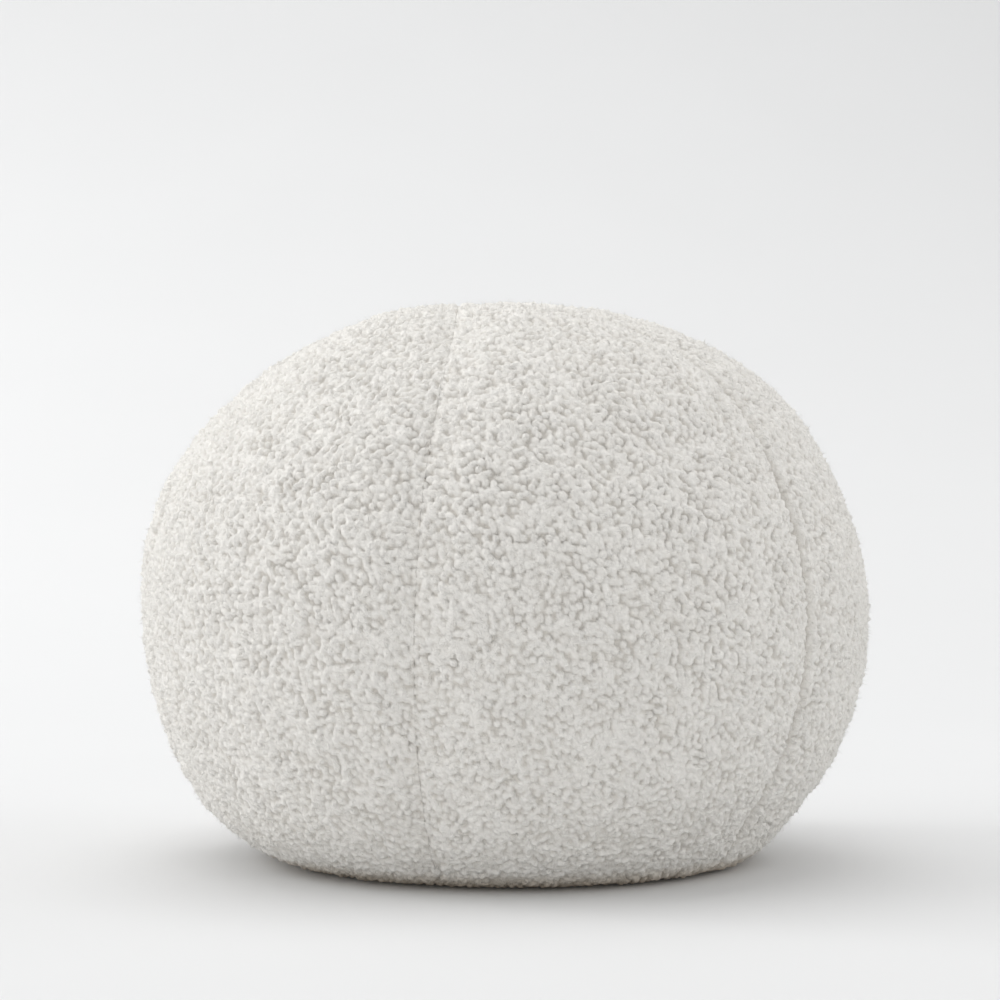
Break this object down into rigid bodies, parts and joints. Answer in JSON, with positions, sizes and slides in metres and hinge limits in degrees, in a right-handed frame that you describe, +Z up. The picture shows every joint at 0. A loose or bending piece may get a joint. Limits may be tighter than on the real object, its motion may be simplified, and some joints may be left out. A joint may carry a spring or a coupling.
{
  "type": "ball pillow",
  "caption": "Squashed ball pillow of ivory curled-pile cloth, sewn from pointed panels that meet at top and bottom, flat where it rests.",
  "frame": {"origin": "on the floor, under the middle of the pillow", "axes": "+Z up through the poles where the panels meet, the front of the picture towards -Y, its right towards +X"},
  "size_m": [0.3041, 0.303, 0.2307],
  "materials": {
    "pile_cloth": "ivory faux shearling with short, dense, matt curls"
  },
  "bodies": {
    "root": {"ball_pillow": "pile_cloth"}
  },
  "joints": []
}
